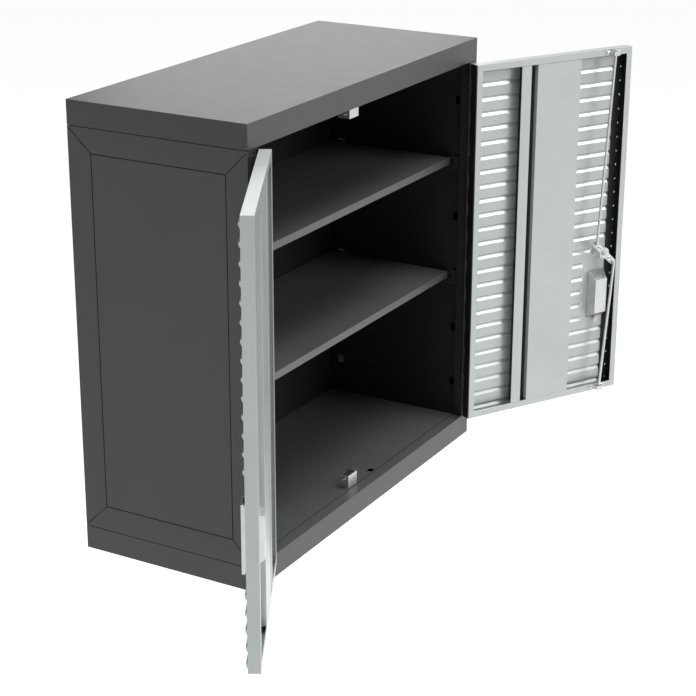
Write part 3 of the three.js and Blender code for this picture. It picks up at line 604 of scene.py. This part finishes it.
# %% Guide screws
GUIDE_SHEET = 0.0012
GUIDE_SCREW_INSET = 0.0052
right = doors["right"]
places = []
for guide in ("upper_rod_guide", "lower_rod_guide"):
    (first, last), (foot, _), (low, high) = right.extent(guide)
    for u in (first + GUIDE_SCREW_INSET, last - GUIDE_SCREW_INSET):
        places.append((right.point(u, foot + GUIDE_SHEET, (low + high) / 2), right.inward))
scatter("guide_screws", make_screw(0.0031, 0.0017), places, "right_door", "chrome")
print(len(places), "guide screws")

# %% Rivets on the cam
TOWARD_MIDDLE = 0.42  # how far each rivet lies from its rod's eye towards the cam's middle
cam_rivets = []
_, (_, cam_back), _ = right.extent("lock_cam")
for rod in ("upper_rod_pivot", "lower_rod_pivot"):
    offset = Vector(joints[rod]["pos_m"]) - right.hinge
    place = right.point(offset.dot(right.along), cam_back, joints[rod]["pos_m"][2])
    toward = Vector(joints["lock_turn"]["pos_m"]) - place
    inner = place + (toward - right.inward * toward.dot(right.inward)) * TOWARD_MIDDLE
    cam_rivets.append((inner, right.inward))
scatter("cam_rivets", make_rivet(0.0042, 0.0024), cam_rivets, "lock_turning", "chrome")
print(len(cam_rivets), "cam rivets")

# %% Catch screws on the floor and the ceiling
CATCH_SHEET = 0.0012
places = []
for catch, up in (("lower_catch_bracket", 1), ("upper_catch_bracket", -1)):
    low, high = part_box(catch)
    z = low.z if up > 0 else high.z
    for x in (low.x + 0.0055, high.x - 0.0055):
        places.append((Vector((x, high.y - 0.0032, z + up * CATCH_SHEET)), (0, 0, up)))
scatter("catch_screws", make_screw(0.0028, 0.0014), places, "cabinet", "chrome")
print(len(places), "catch screws")

# %% [markdown]
# ## The room
# The cabinet stands in white studio light that comes from above and from the front. Its left side is in
# shade, so the world is a soft gradient that is dim on that side. A lamp in front lights the doors and the
# shelf lips, a ceiling lamp draws every rib, and a weak lamp behind the cabinet gives the lid its pale sheen.
# The floor is far below, as the cabinet hangs. It glows a little, as a brightly lit sweep of paper would.

# %% Floor, world and lamps
lowest = frame_box[0][2]
bpy.ops.mesh.primitive_plane_add(size=60, location=(0, 0, lowest - 1.2))
floor = bpy.context.object
floor.name = "floor"
floor_finish = bpy.data.materials.new("pale floor")
floor_finish.use_nodes = True
floor_shader = floor_finish.node_tree.nodes["Principled BSDF"]
floor_shader.inputs["Base Color"].default_value = (0.4, 0.4, 0.4, 1)
floor_shader.inputs["Roughness"].default_value = 0.9
floor_shader.inputs["Emission Color"].default_value = (1, 1, 1, 1)
floor_shader.inputs["Emission Strength"].default_value = 0.8
floor.data.materials.append(floor_finish)

world = bpy.context.scene.world or bpy.data.worlds.new("room")
bpy.context.scene.world = world
world.use_nodes = True
backdrop = world.node_tree.nodes["Background"]
backdrop.inputs["Color"].default_value = (1, 1, 1, 1)
room = world.node_tree
direction = room.nodes.new("ShaderNodeTexCoord")
facing_light = room.nodes.new("ShaderNodeVectorMath")
facing_light.operation = "DOT_PRODUCT"
facing_light.inputs[1].default_value = (0.78, -0.58, 0.25)
brightness = room.nodes.new("ShaderNodeMapRange")
brightness.inputs["From Min"].default_value = -1
brightness.inputs["To Min"].default_value = 0.02
brightness.inputs["To Max"].default_value = 0.62
room.links.new(direction.outputs["Generated"], facing_light.inputs[0])
room.links.new(facing_light.outputs["Value"], brightness.inputs["Value"])
room.links.new(brightness.outputs["Result"], backdrop.inputs["Strength"])


def add_lamp(name, place, target, size, power):
    bpy.ops.object.light_add(type="AREA", location=place)
    lamp = bpy.context.object
    lamp.name = name
    lamp.data.size = size
    lamp.data.energy = power
    lamp.rotation_euler = (Vector(target) - Vector(place)).to_track_quat("-Z", "Y").to_euler()


middle = Vector((0, -0.2, -0.25))
add_lamp("sheen lamp", (2.6, 1.42, 0.85), middle, 1.3, 6.5)
add_lamp("front lamp", (1.4, -4.0, 2.2), middle, 2.0, 92)
add_lamp("ceiling lamp", (0.3, -0.8, 3.6), middle, 3.0, 270)
bpy.context.scene.view_settings.view_transform = "Standard"

# %% [markdown]
# ## The camera
# The camera looks down on the cabinet from its left, about sixty degrees round from the front. A long
# lens keeps the edges nearly parallel, which is why the far end of the lid is hardly smaller than the near.


# %% Place the camera
def aim_camera(place, yaw, pitch, roll, lens):
    ahead = Vector((math.sin(yaw) * math.cos(pitch), math.cos(yaw) * math.cos(pitch), -math.sin(pitch)))
    level = Vector((math.cos(yaw), -math.sin(yaw), 0))
    upright = level.cross(ahead)
    across = math.cos(roll) * level + math.sin(roll) * upright
    up = -math.sin(roll) * level + math.cos(roll) * upright
    bpy.ops.object.camera_add(location=place)
    camera = bpy.context.object
    camera.rotation_euler = Matrix((across, up, -ahead)).transposed().to_euler()
    camera.data.lens = lens
    camera.data.sensor_width = 36
    bpy.context.scene.camera = camera
    print("the camera stands at", [round(x, 2) for x in camera.location])


aim_camera((-2.6193, -1.7626, 0.7629), 1.0561, 0.3534, 0.003, 97.0)
